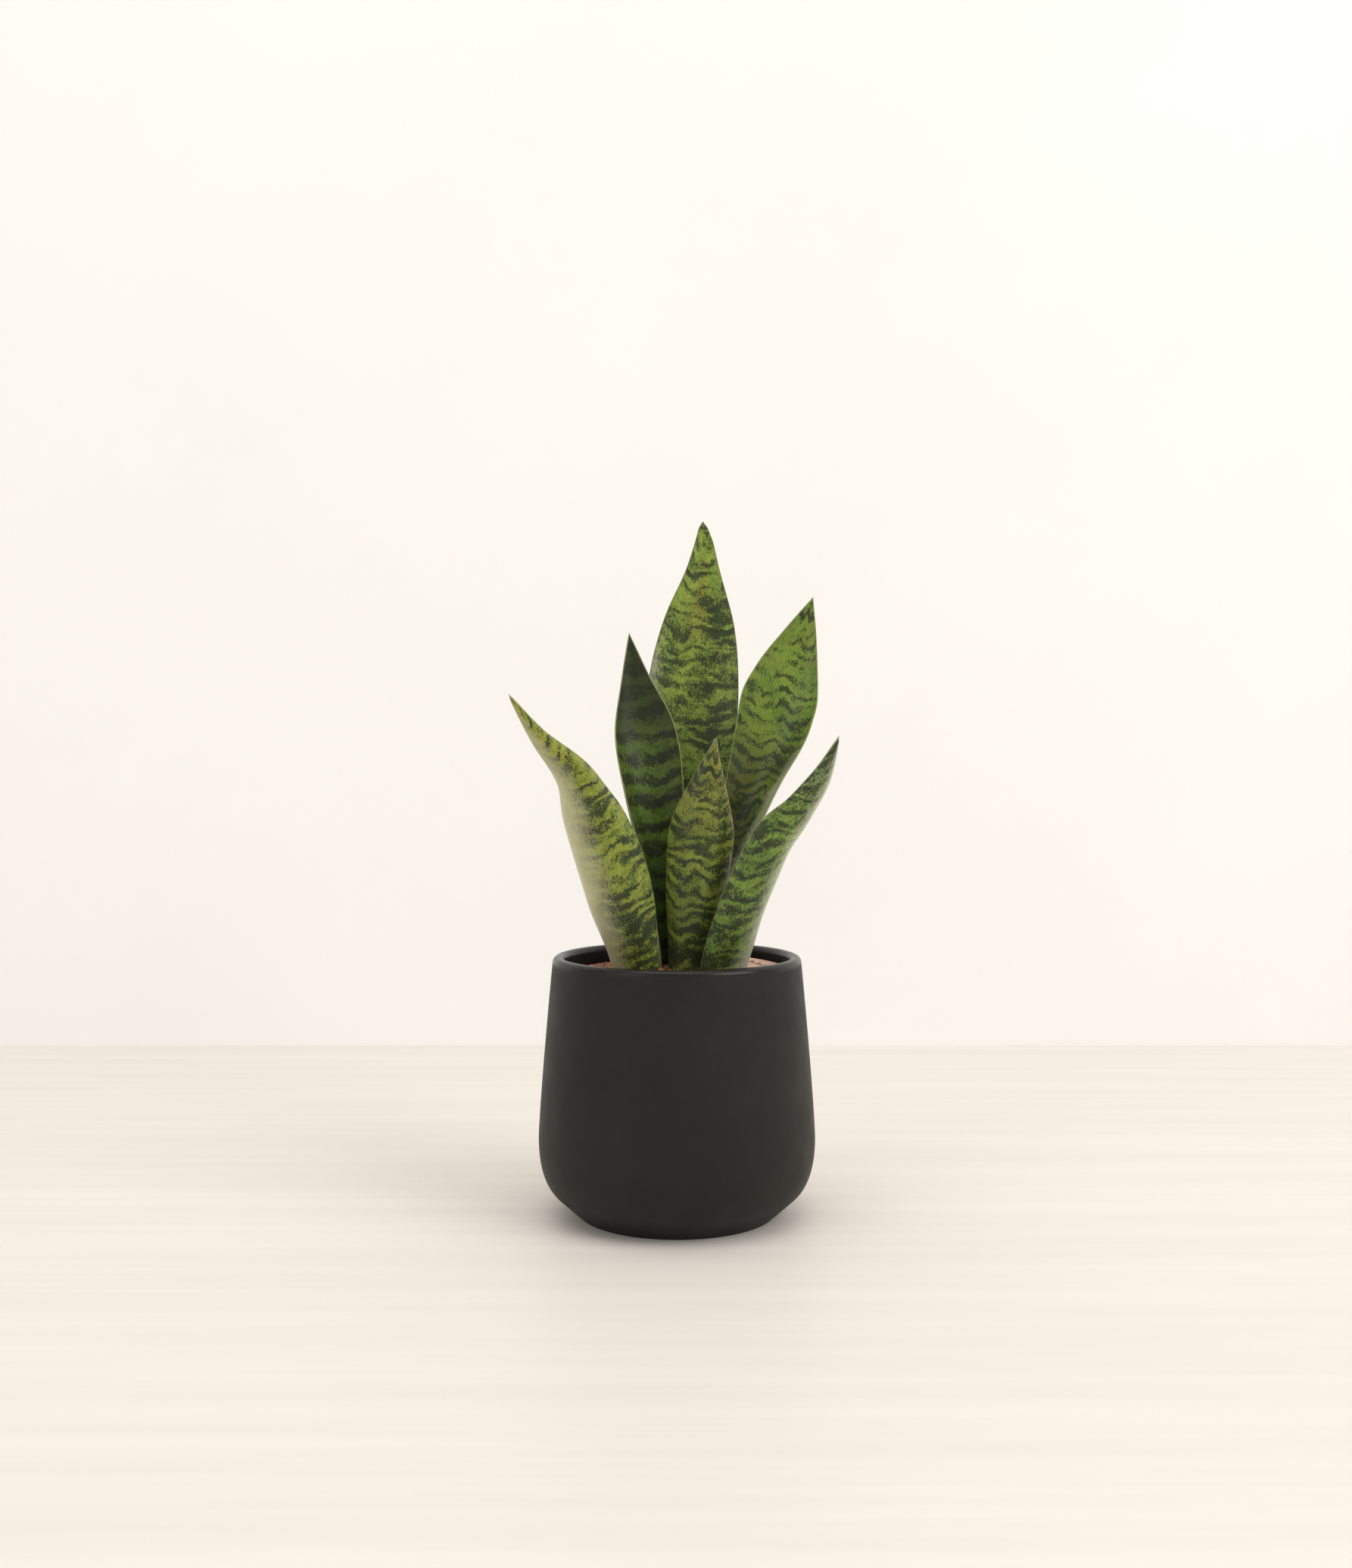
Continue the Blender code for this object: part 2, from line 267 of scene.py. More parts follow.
planterPlan = {
    "footRadius": 0.0535, "footRingWidth": 0.006, "footRecess": 0.002,
    "slantLength": 0.0165, "slantAngle": 42, "bellyHeight": 0.0416, "rimRadius": 0.0675,
    "taperPower": 1.2, "wall": 0.0065, "floorThickness": 0.008, "drainRadius": 0.006,
    "wellRound": 0.003, "bellySteps": 16, "taperSteps": 28, "lipSteps": 16, "wellSteps": 6,
    "turnSteps": 144, "lipWearFrom": 0.005, "lipWearTo": 0.002, "lipWear": 0.28,
}
low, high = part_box("planter")
potHeight = high.z
bellyRadius = high.x


def arcPoints(centre, radius, start, end, steps):
    turns = [math.radians(start + (end - start) * step / steps) for step in range(steps + 1)]
    return [(centre[0] + radius * math.cos(a), centre[1] + radius * math.sin(a)) for a in turns]


def outerSide(plan):
    angle = math.radians(plan["slantAngle"])
    foot = (plan["footRadius"], 0.0)
    top = (foot[0] + plan["slantLength"] * math.cos(angle), plan["slantLength"] * math.sin(angle))
    bend = (bellyRadius, top[1] + (bellyRadius - top[0]) * math.tan(angle))
    belly = (bellyRadius, plan["bellyHeight"])
    points = [foot]
    for step in range(plan["bellySteps"] + 1):
        t = step / plan["bellySteps"]
        points.append(tuple((1 - t) ** 2 * a + 2 * t * (1 - t) * b + t * t * c
                            for a, b, c in zip(top, bend, belly)))
    lipStart = potHeight - plan["wall"] / 2
    for step in range(1, plan["taperSteps"] + 1):
        t = step / plan["taperSteps"]
        radius = bellyRadius - (bellyRadius - plan["rimRadius"]) * t ** plan["taperPower"]
        points.append((radius, belly[1] + (lipStart - belly[1]) * t))
    return points


def hollowRadius(height):
    radii, heights = zip(*outerSide(planterPlan))
    return float(np.interp(height, heights, radii)) - planterPlan["wall"]


def planterProfile(plan):
    outside = outerSide(plan)
    half = plan["wall"] / 2
    lip = arcPoints((plan["rimRadius"] - half, potHeight - half), half, 0, 180, plan["lipSteps"])
    wellTop = plan["floorThickness"] + plan["wellRound"]
    inside = [(r - plan["wall"], z) for r, z in outside if wellTop < z][::-1]
    wellCentre = (hollowRadius(wellTop) - plan["wellRound"], wellTop)
    well = arcPoints(wellCentre, plan["wellRound"], 0, -90, plan["wellSteps"])
    ring = plan["footRadius"] - plan["footRingWidth"]
    recess = plan["footRecess"]
    under = [(plan["drainRadius"], recess), (ring - recess, recess), (ring, 0.0)]
    drainEdge = (plan["drainRadius"], plan["floorThickness"])
    return under + outside[:-1] + lip + inside[1:] + well + [drainEdge]


def turned(profile, steps):
    bm = bmesh.new()
    corners = [bm.verts.new((radius, 0, height)) for radius, height in profile]
    edges = [bm.edges.new(pair) for pair in zip(corners, corners[1:])]
    if profile[0][0] > 0:  # a profile that stays off the axis is a closed loop
        edges.append(bm.edges.new((corners[-1], corners[0])))
    bmesh.ops.spin(bm, geom=corners + edges, axis=(0, 0, 1), cent=(0, 0, 0), steps=steps,
                   angle=math.tau, use_merge=True, use_duplicate=False)
    bmesh.ops.remove_doubles(bm, verts=bm.verts, dist=0.00001)
    bmesh.ops.recalc_face_normals(bm, faces=bm.faces)
    return bm


def charcoalGlaze():
    made, tree, shader = newMaterial("charcoal_glaze")
    place = coordinates(tree)
    cloud = noise(tree, place, 22, 3, 0.55)
    dull, clear = (0.0080, 0.0066, 0.0050), (0.0108, 0.0091, 0.0070)
    colour = blend(tree, between(tree, cloud, 0.3, 0.7), dull, clear)
    speck = noise(tree, place, 2600, 2, 0.6)
    colour = blend(tree, between(tree, speck, 0.62, 0.8, 0, 0.35), colour, (0.03, 0.027, 0.024))
    tree.links.new(colour, shader.inputs["Base Color"])
    rough = between(tree, noise(tree, place, 60, 4, 0.6), 0.3, 0.7, 0.52, 0.60)
    wearFrom = potHeight - planterPlan["lipWearFrom"]
    wearTo = potHeight - planterPlan["lipWearTo"]
    worn = between(tree, split(tree, place)[2], wearFrom, wearTo, 0, planterPlan["lipWear"])
    rough = sums(tree, "SUBTRACT", rough, worn)
    tree.links.new(rough, shader.inputs["Roughness"])
    shader.inputs["Specular IOR Level"].default_value = 0.28
    grain = sums(tree, "ADD", noise(tree, place, 1500, 2, 0.5), sums(tree, "MULTIPLY", speck, 0.5))
    bump(tree, shader, grain, 0.00003, 0.5)
    return made


def makePlanter():
    bm = turned(planterProfile(planterPlan), planterPlan["turnSteps"])
    piece = finishPiece("planter_glazed", bm, charcoalGlaze(), 30)
    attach(piece, "root")
    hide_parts("planter")


makePlanter()
print("planter turned")


# Leaves

bladePlan = {
    "bladeThickness": 0.0028, "marginThickness": 0.0006, "footThickening": 1.15,
    "tipThinning": 0.9, "tipLength": 0.002, "rootDepth": 0.026, "buriedNarrowing": 0.85,
    "columns": 40, "station": 0.0016, "merge": 0.000001, "plantDrop": 0.009,
}
datum = potHeight - bladePlan["plantDrop"]

# Rows of a leaf: x and y of its middle in mm, share of its height, half width in mm, the way its
# hollow side faces, and how far each half curls round. The pairs of numbers are curves:
# sweep: from the left margin (-1) to the right (1), how far the bands climb, in cm
# cover and depth: from foot to tip, how much is dark, and how much of the ground tone shows through
# the painted shade that darkens it
# paintedSheen: a painted sheen that pales the flank, from the left margin to the right and from foot
# to tip; sheenLean slants it
# beat: weight and rate of the even bands, weights of the broken bands and of the patches
# tint: a colour, then where it lies from foot to tip and from the left margin to the right
leafPlans = {
    "leaf_tall_back": {
        "height": 0.247,
        "rows": (
            (3, 25, 0.00, 13, 270, 46), (5, 28, 0.17, 18, 270, 40),
            (7, 29, 0.40, 23, 270, 40), (8.5, 29, 0.61, 27, 272, 35),
            (12, 28, 0.78, 20.5, 275, 32), (14.6, 27, 0.91, 8.8, 278, 30),
            (15.1, 26.5, 0.96, 5.2, 278, 26), (14.6, 26, 1.00, 1.9, 278, 20),
        ),
        "light": (0.26, 0.355, 0.048), "middle": (0.14, 0.215, 0.03),
        "dark": (0.022, 0.034, 0.010),
        "stain": (0.30, 0.19, 0.04), "stained": 0.35, "seed": 3.1,
        "sweep": ((-1, 0.45), (-0.7, 0.2), (-0.38, 0.0), (0, 0.16), (0.38, 0.0), (0.7, 0.1),
                  (1, 0.2)),
        "cover": ((0, 0.57), (0.3, 0.56), (0.52, 0.54), (0.6, 0.56), (0.7, 0.52), (0.85, 0.50),
                  (1, 0.51)),
        "depth": ((0, 0.55), (0.3, 0.75), (0.55, 0.95), (1, 1)),
        "paintedSheen": (((0, 0.65), (0.06, 0.4), (0.14, 0.08), (0.2, 0), (1, 0)),
                 ((0, 0), (0.3, 0.1), (0.5, 0.7), (0.62, 1), (0.72, 0.3), (0.8, 0), (1, 0))),
        "sheenLean": 0, "sheenColour": (0.56, 0.57, 0.42),
        "beat": (0.22, 7.8, 1.05, 0.8),
        "rim": (0.12, 0.14, 0.035),
        "tint": ((0.27, 0.16, 0.03),
                 ((0, 0), (0.7, 0), (0.8, 0.55), (0.88, 0.45), (0.95, 0.1), (1, 0)),
                 ((0, 0), (0.3, 0.1), (0.5, 1), (0.68, 0.1), (1, 0))),
    },
    "leaf_dark_left": {
        "height": 0.183,
        "rows": (
            (-9, 4, 0.00, 12, 340, 50), (-11, 5, 0.23, 16, 322, 54),
            (-15, 7, 0.52, 19.5, 295, 50), (-18.7, 8, 0.73, 17.6, 280, 42),
            (-23, 8, 0.88, 7.8, 275, 36), (-26, 8, 1.00, 0.6, 275, 20),
        ),
        "light": (0.085, 0.142, 0.013), "middle": (0.042, 0.076, 0.006),
        "dark": (0.011, 0.0145, 0.004),
        "stain": (0.11, 0.12, 0.02), "stained": 0.3, "seed": 11.7,
        "sweep": ((-1, 0.30), (-0.5, 0.05), (0, 0.0), (0.5, 0.1), (1, 0.25)),
        "cover": ((0, 0.64), (0.3, 0.54), (0.6, 0.50), (0.74, 0.50), (0.85, 0.58), (1, 0.68)),
        "depth": ((0, 0.35), (0.3, 0.7), (0.5, 1), (0.75, 0.75), (1, 0.5)),
        "paintedSheen": (((0, 0), (1, 0)), ((0, 0), (1, 0))),
        "sheenLean": 0, "sheenColour": (0.54, 0.525, 0.31),
        "beat": (0.42, 5.0, 0.7, 0.3),
        "rim": (0.28, 0.31, 0.13),
        "tint": ((0.022, 0.024, 0.010), ((0, 0), (0.6, 0), (0.72, 0.4), (0.85, 0.85), (1, 1)),
                 ((0, 1), (1, 1))),
    },
    "leaf_front_left": {
        "height": 0.148,
        "rows": (
            (-26, -16, 0.00, 17, 55, 58), (-36.2, -20, 0.27, 25.3, 60, 68),
            (-44.8, -23, 0.49, 23.3, 64, 62), (-50, -24.2, 0.60, 19.4, 65, 57),
            (-54.8, -25, 0.70, 13, 66, 52), (-73.5, -26, 0.86, 5, 70, 45),
            (-87.5, -27, 1.00, 0.6, 80, 20),
        ),
        "light": (0.27, 0.33, 0.042), "middle": (0.15, 0.215, 0.026),
        "dark": (0.020, 0.028, 0.009),
        "stain": (0.36, 0.24, 0.03), "stained": 0.55, "seed": 24.9,
        "sweep": ((-1, 0.75), (-0.5, 0.30), (0, 0.0), (0.3, 0.2), (0.6, 0.75), (1, 1.5)),
        "cover": ((0, 0.56), (0.08, 0.58), (0.18, 0.67), (0.28, 0.54), (0.6, 0.56), (0.8, 0.53),
                  (1, 0.42)),
        "depth": ((0, 0.8), (0.3, 1), (1, 1)),
        "paintedSheen": (((0, 0), (0.36, 0), (0.48, 0.28), (0.62, 0.62), (0.82, 0.88), (1, 0.95)),
                 ((0, 0.5), (0.08, 0.85), (0.2, 1), (0.6, 1), (0.8, 0.8), (1, 0.3))),
        "sheenLean": 0, "sheenColour": (0.54, 0.525, 0.31),
        "beat": (0.26, 8.8, 1.0, 0.8),
        "rim": (0.42, 0.45, 0.24),
        "tint": ((0.33, 0.25, 0.035), ((0, 0.1), (0.5, 0.2), (0.75, 0.4), (1, 0.5)),
                 ((0, 0.5), (0.4, 1), (1, 1))),
    },
    "leaf_front_small": {
        "height": 0.125,
        "rows": (
            (6.3, -12, 0.00, 11.5, 90, 52), (10.5, -17, 0.41, 18.5, 88, 50),
            (13, -19.5, 0.63, 18.5, 86, 45), (16, -21, 0.80, 11, 86, 40),
            (18.5, -21, 0.92, 4.5, 86, 30), (20.5, -21, 1.00, 0.6, 86, 20),
        ),
        "light": (0.21, 0.26, 0.033), "middle": (0.115, 0.16, 0.02),
        "dark": (0.018, 0.026, 0.008),
        "stain": (0.30, 0.22, 0.035), "stained": 0.5, "seed": 37.9,
        "sweep": ((-1, 0.50), (-0.7, 0.18), (-0.38, 0.0), (0, 0.25), (0.38, 0.0), (0.7, 0.18),
                  (1, 0.5)),
        "cover": ((0, 0.66), (0.1, 0.6), (0.2, 0.66), (0.32, 0.56), (0.5, 0.55),
                  (0.8, 0.53), (1, 0.46)),
        "depth": ((0, 0.6), (0.3, 0.85), (0.5, 1), (1, 1)),
        "paintedSheen": (((0, 0.2), (0.1, 0), (1, 0)), ((0, 1), (1, 1))),
        "sheenLean": 0, "sheenColour": (0.54, 0.525, 0.31),
        "beat": (0.27, 8.8, 1.0, 0.7),
        "rim": (0.42, 0.44, 0.22),
        "tint": ((0.23, 0.18, 0.04), ((0, 0), (0.55, 0.05), (0.75, 0.4), (1, 0.6)), ((0, 1), (1, 1))),
    },
    "leaf_right_back": {
        "height": 0.204,
        "rows": (
            (12, 8, 0.00, 11.5, 190, 54), (21.5, 9, 0.13, 15, 197, 62),
            (36, 12, 0.33, 18, 212, 64), (47, 14.5, 0.51, 20.5, 235, 60),
            (55, 16, 0.66, 23, 256, 50), (57.4, 16.5, 0.73, 22.8, 262, 44),
            (60.6, 17, 0.79, 19.2, 266, 38), (68.8, 17.5, 0.91, 9.2, 270, 32),
            (75, 18, 1.00, 0.7, 270, 20),
        ),
        "light": (0.19, 0.275, 0.034), "middle": (0.105, 0.175, 0.02),
        "dark": (0.022, 0.030, 0.011),
        "stain": (0.19, 0.14, 0.025), "stained": 0.55, "seed": 51.3,
        "sweep": ((-1, 0.35), (-0.7, 0.2), (-0.3, 0.0), (0.1, 0.5), (0.4, 0.1), (1, 0.8)),
        "cover": ((0, 0.64), (0.3, 0.61), (0.5, 0.58), (0.62, 0.53), (0.7, 0.46), (0.82, 0.39),
                  (1, 0.44)),
        "depth": ((0, 0.4), (0.3, 0.6), (0.5, 0.8), (0.7, 1), (1, 1)),
        "paintedSheen": (((0, 0), (0.36, 0), (0.5, 0.55), (0.6, 0.62), (0.74, 0.3), (0.86, 0.12), (1, 0.08)),
                 ((0, 0.2), (0.12, 0.7), (0.3, 1), (0.5, 0.85), (0.6, 0.3), (0.68, 0), (1, 0))),
        "sheenLean": -1.4, "sheenColour": (0.52, 0.56, 0.33),
        "beat": (0.30, 8.4, 1.0, 0.8),
        "rim": (0.26, 0.30, 0.11),
        "tint": ((0.125, 0.095, 0.018), ((0, 0.6), (0.45, 0.9), (0.62, 0.2), (0.7, 0), (1, 0)),
                 ((0, 1), (0.4, 0.9), (0.6, 0.2), (1, 0))),
    },
    "leaf_front_right": {
        "height": 0.126,
        "rows": (
            (24.5, -22, 0.00, 12.5, 96, 36), (35.3, -26, 0.24, 16, 118, 62),
            (46.6, -28.5, 0.45, 16.2, 124, 62), (54.6, -30, 0.59, 14.3, 122, 56),
            (65, -31, 0.70, 10, 120, 50), (75, -31.5, 0.82, 7, 120, 45),
            (84, -32, 1.00, 0.6, 120, 20),
        ),
        "light": (0.19, 0.285, 0.045), "middle": (0.105, 0.175, 0.025),
        "dark": (0.019, 0.028, 0.010),
        "stain": (0.24, 0.2, 0.04), "stained": 0.25, "seed": 67.2,
        "sweep": ((-1, 2.3), (-0.5, 1.5), (0, 0.8), (0.5, 0.25), (1, 0.0)),
        "cover": ((0, 0.60), (0.3, 0.60), (0.6, 0.55), (0.8, 0.53), (0.92, 0.6), (1, 0.72)),
        "depth": ((0, 0.7), (0.3, 1), (0.8, 1), (1, 0.8)),
        "paintedSheen": (((0, 0.85), (0.12, 0.75), (0.25, 0.5), (0.38, 0.18), (0.5, 0), (1, 0)),
                 ((0, 0.7), (0.3, 1), (0.6, 1), (0.8, 1), (0.94, 0.85), (1, 0.4))),
        "sheenLean": 0, "sheenColour": (0.58, 0.60, 0.43),
        "beat": (0.26, 8.4, 1.0, 0.7),
        "rim": (0.40, 0.43, 0.22),
        "tint": ((0.20, 0.22, 0.15), ((0, 0), (0.65, 0.05), (0.85, 0.7), (1, 0.9)), ((0, 1), (1, 1))),
    },
}


# A smooth curve through values at places, read at the wanted places.
def curveThrough(places, values, wanted):
    slopes = np.diff(values, axis=0) / np.diff(places)[:, None]
    gaps = np.diff(places)[:, None]
    middle = (gaps[1:] * slopes[:-1] + gaps[:-1] * slopes[1:]) / (gaps[1:] + gaps[:-1])
    tangents = np.vstack([slopes[:1], middle, slopes[-1:]])
    index = np.clip(np.searchsorted(places, wanted, side="right") - 1, 0, len(places) - 2)
    gap = gaps[index]
    t = (wanted[:, None] - places[index][:, None]) / gap
    ahead = t * t * (3 - 2 * t)
    leave = t * (1 - t) ** 2
    arrive = t * t * (t - 1)
    start, end = values[index], values[index + 1]
    bend = leave * tangents[index] + arrive * tangents[index + 1]
    return start + (end - start) * ahead + gap * bend


def bladeRows(leaf):
    rows = np.array(leaf["rows"], float)
    rows[:, [0, 1, 3]] *= 0.001
    rows[:, 2] = datum + rows[:, 2] * leaf["height"]
    rows[:, 4:] = np.radians(rows[:, 4:])
    foot, bend = rows[0].copy(), rows[0].copy()
    foot[2] -= bladePlan["rootDepth"]
    foot[3] *= bladePlan["buriedNarrowing"]
    bend[2] -= bladePlan["rootDepth"] / 2
    return np.vstack([foot, bend, rows])


# Per station: the middle point, its frame, half width, curl, thickness and way along.
def bladeSpine(leaf, stations):
    rows = bladeRows(leaf)
    places = np.append(0, np.cumsum(np.linalg.norm(np.diff(rows[:, :3], axis=0), axis=1)))
    wanted = np.linspace(0, places[-1], stations)
    middle, halfWidth, facing, curl = np.split(curveThrough(places, rows, wanted), (3, 4, 5), axis=1)
    along = np.gradient(middle, axis=0)
    along /= np.linalg.norm(along, axis=1)[:, None]
    hollow = np.hstack([np.cos(facing), np.sin(facing), np.zeros_like(facing)])
    hollow -= along * (hollow * along).sum(axis=1)[:, None]
    hollow /= np.linalg.norm(hollow, axis=1)[:, None]
    across = np.cross(along, hollow)
    halfWidth = np.maximum(halfWidth, bladePlan["marginThickness"])
    share = wanted[:, None] / places[-1]
    fullness = bladePlan["footThickening"] - bladePlan["tipThinning"] * share
    thickness = bladePlan["marginThickness"]
    thickness = thickness + (bladePlan["bladeThickness"] - thickness) * fullness
    return middle, along, hollow, across, halfWidth, curl, thickness, wanted


# sideways runs from -1 to 1; back is false on the hollow side and true on the other.
def bladePoints(leaf, stations, sideways, back, level):
    middle, along, hollow, across, halfWidth, curl, thickness, wanted = (
        part[level] for part in bladeSpine(leaf, stations))
    halfWidth, curl, thickness = halfWidth[:, 0], curl[:, 0], thickness[:, 0]
    margin = bladePlan["marginThickness"]
    body = margin + (thickness - margin) * np.sqrt(1 - sideways ** 2)
    roundEnd = np.clip((1 - np.abs(sideways)) * halfWidth / (margin / 2), 0, 1)
    full = margin * np.sqrt(1 - (1 - roundEnd) ** 2) + (body - margin)
    depth = body / 2 + full / 2 * np.where(back, 1, -1)
    radius = halfWidth / curl
    turn = curl * sideways
    reach = (radius + depth) * np.sin(turn)
    sag = radius - (radius + depth) * np.cos(turn)
    points = middle + across * reach[:, None] + hollow * sag[:, None]
    return points, sideways * halfWidth, wanted, (1 - np.abs(sideways)) * halfWidth


# Columns of the grid run from one margin over the hollow side and home over the back. The
# guides hold cm across and along, then place from margin to margin, share of the length and cm
# in from the margin.
def makeBlade(name, leaf):
    rows = bladeRows(leaf)
    length = np.linalg.norm(np.diff(rows[:, :3], axis=0), axis=1).sum()
    stations = int(length / bladePlan["station"])
    around = 2 * bladePlan["columns"]
    bm = bmesh.new()
    bmesh.ops.create_grid(bm, x_segments=around, y_segments=stations - 1, size=1)
    flat = np.array([v.co for v in bm.verts])
    turn = np.round((flat[:, 0] + 1) / 2 * around).astype(int)
    level = np.round((flat[:, 1] + 1) / 2 * (stations - 1)).astype(int)
    angle = math.tau * turn / around
    sideways = np.round(-np.cos(angle), 9)
    back = turn > around / 2
    points, across, along, inward = bladePoints(leaf, stations, sideways, back, level)
    middle, direction = (part[-1] for part in bladeSpine(leaf, stations)[:2])
    points[level == stations - 1] = middle + direction * bladePlan["tipLength"]
    soil = bladePlan["rootDepth"]
    share = np.clip((along - soil) / (length - soil), 0, 1)
    guides = np.column_stack([across * 100, (along - soil) * 100, np.zeros(len(along))])
    edges = np.column_stack([sideways, share, inward * 100])
    guideLayer = bm.verts.layers.float_vector.new("bladeGuide")
    edgeLayer = bm.verts.layers.float_vector.new("edgeGuide")
    for v, place, guide, edge in zip(bm.verts, points, guides, edges):
        v.co = place
        v[guideLayer] = guide
        v[edgeLayer] = edge
    bmesh.ops.remove_doubles(bm, verts=bm.verts, dist=bladePlan["merge"])
    foot = [e for e in bm.edges if e.is_boundary]
    bmesh.ops.contextual_create(bm, geom=foot)
    bmesh.ops.recalc_face_normals(bm, faces=bm.faces)
    piece = finishPiece(name + "_blade", bm, bladeSkin(name, leaf), 50)
    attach(piece, "root")
    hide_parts(name)


# Textures of the skin: how fine across and along, detail, roughness, and shift from the seed.
bladeTextures = {
    "wander": (0.5, 0.6, 3, 0.55, 0), "feather": (9, 3.5, 4, 0.7, 1),
    "vary": (0.05, 0.5, 1, 0.5, 10), "grain": (10, 8.5, 4, 0.62, 4), "streak": (13, 3, 3, 0.6, 11),
    "patch": (0.45, 0.4, 1, 0.5, 5), "cloud": (0.9, 0.7, 3, 0.55, 6), "fine": (8, 5.0, 4, 0.65, 7),
    "dust": (26, 18, 2, 0.6, 12), "spot": (1.3, 1.6, 3, 0.6, 8), "strand": (42, 0.9, 2, 0.5, 9),
}
# These two run along the line of the bands instead of along the leaf.
bandTextures = {"chain": (0.5, 1.8, 2, 0.55, 2), "blotch": (1.7, 3.6, 4, 0.62, 3)}

# Weights of the textures, then limits of the dark bands, of their soft rims and of the pale rim.
bladePaint = {
    "wander": 2.0, "feather": 0.35, "blotch": 1.05, "grain": 1.15, "streak": 0.45,
    "mottle": {"fine": 0.9, "cloud": 0.7, "dust": 0.4},
    # The sheen rags and the sheen middle shape the rim and the slant of the painted sheen on the
    # flank.
    "sheenRags": {"streak": 0.35, "cloud": 0.25, "strand": 0.2},
    "relief": {"strand": 0.6, "grain": 0.25},
    "dark": (-0.04, 0.21), "smudge": (-0.14, 0.06), "darkShare": 0.97, "smudgeShare": 0.5,
    "rim": (0.03, 0.06), "rimShare": 0.7, "sheenMiddle": 0.3,
    # The darkening below sets how dark the painted shade makes the middle green.
    "shadeDarkening": 0.3, "halfMiddle": 0.35, "halfDark": 0.65,
}


def weighted(tree, parts, start=0.0):
    total = start
    for value, weight in parts:
        total = sums(tree, "MULTIPLY_ADD", sums(tree, "SUBTRACT", value, 0.5), weight, total)
    return total


# From -1 .. 1 to 0 .. 1.
def halved(tree, value):
    return sums(tree, "MULTIPLY_ADD", value, 0.5, 0.5)


# The named textures, each by its own weight.
def mixed(tree, texture, weights, start):
    parts = [(texture[kind], weight) for kind, weight in weights.items()]
    return weighted(tree, parts, start)


def bladeTexture(tree, plane, seed, setting):
    across, along, detail, roughness, shift = setting
    place = stretched(tree, plane, (across, along, 1))
    return noise(tree, place, 1.0, detail, roughness, shift=seed + shift)


# The line that the bands follow, in cm.
def bandLine(tree, leaf, along, sideways, texture):
    most = max(rise for place, rise in leaf["sweep"])
    sweep = tuple(((place + 1) / 2, rise / most) for place, rise in leaf["sweep"])
    lift = sums(tree, "MULTIPLY", curve(tree, halved(tree, sideways), sweep), most)
    vary = between(tree, texture["vary"], 0.3, 0.7, 0.5, 1.3)
    line = sums(tree, "SUBTRACT", along, sums(tree, "MULTIPLY", lift, vary))
    parts = ((texture["wander"], bladePaint["wander"]), (texture["feather"], bladePaint["feather"]))
    return weighted(tree, parts, line)


# How dark: broken bands, blotches in them and grain at their rims.
def bandLevel(tree, leaf, across, line, share, texture):
    beatWeight, beatRate, chainWeight, patchWeight = leaf["beat"]
    beat = halved(tree, sums(tree, "SINE", sums(tree, "MULTIPLY", line, beatRate)))
    plane = combine(tree, across, line)
    chain = bladeTexture(tree, plane, leaf["seed"], bandTextures["chain"])
    blotch = bladeTexture(tree, plane, leaf["seed"], bandTextures["blotch"])
    level = weighted(tree, (
        (beat, beatWeight), (chain, chainWeight), (blotch, bladePaint["blotch"]),
        (texture["grain"], bladePaint["grain"]), (texture["streak"], bladePaint["streak"]),
        (texture["patch"], patchWeight),
    ))
    cover = sums(tree, "SUBTRACT", curve(tree, share, leaf["cover"]), 0.5)
    return sums(tree, "ADD", level, cover)


# The ground under the bands, darkened by painted shade along the leaf, most towards the foot.
def bladeGround(tree, leaf, sideways, share, mottle, texture):
    light = between(tree, mottle, 0.40, 0.60)
    ground = blend(tree, light, leaf["middle"], leaf["light"])
    stained = between(tree, texture["spot"], 0.54, 0.72, 0, leaf["stained"])
    ground = blend(tree, stained, ground, leaf["stain"])
    threads = between(tree, texture["strand"], 0.35, 0.7, 0, 0.22)
    ground = blend(tree, threads, ground, leaf["middle"])
    tint, tintAlong, tintAcross = leaf["tint"]
    aside = curve(tree, halved(tree, sideways), tintAcross)
    tinted = sums(tree, "MULTIPLY", curve(tree, share, tintAlong), aside)
    speckled = between(tree, texture["fine"], 0.35, 0.6, 0.35, 1.0)
    ground = blend(tree, sums(tree, "MULTIPLY", tinted, speckled), ground, tint)
    # painted shade: the middle green darkened, blended in where the depth curve is low
    shadedMiddle = tuple(tone * bladePaint["shadeDarkening"] for tone in leaf["middle"])
    return blend(tree, curve(tree, share, leaf["depth"]), shadedMiddle, ground)


# The painted sheen on the flank: a share of 0 to 1 with a ragged rim.
def bladePaintedSheen(tree, leaf, sideways, share, texture):
    sheenAcross, sheenAlong = leaf["paintedSheen"]
    flank = mixed(tree, texture, bladePaint["sheenRags"], halved(tree, sideways))
    above = sums(tree, "SUBTRACT", share, bladePaint["sheenMiddle"])
    flank = sums(tree, "MULTIPLY_ADD", above, leaf["sheenLean"], flank)
    return sums(tree, "MULTIPLY", curve(tree, flank, sheenAcross), curve(tree, share, sheenAlong))
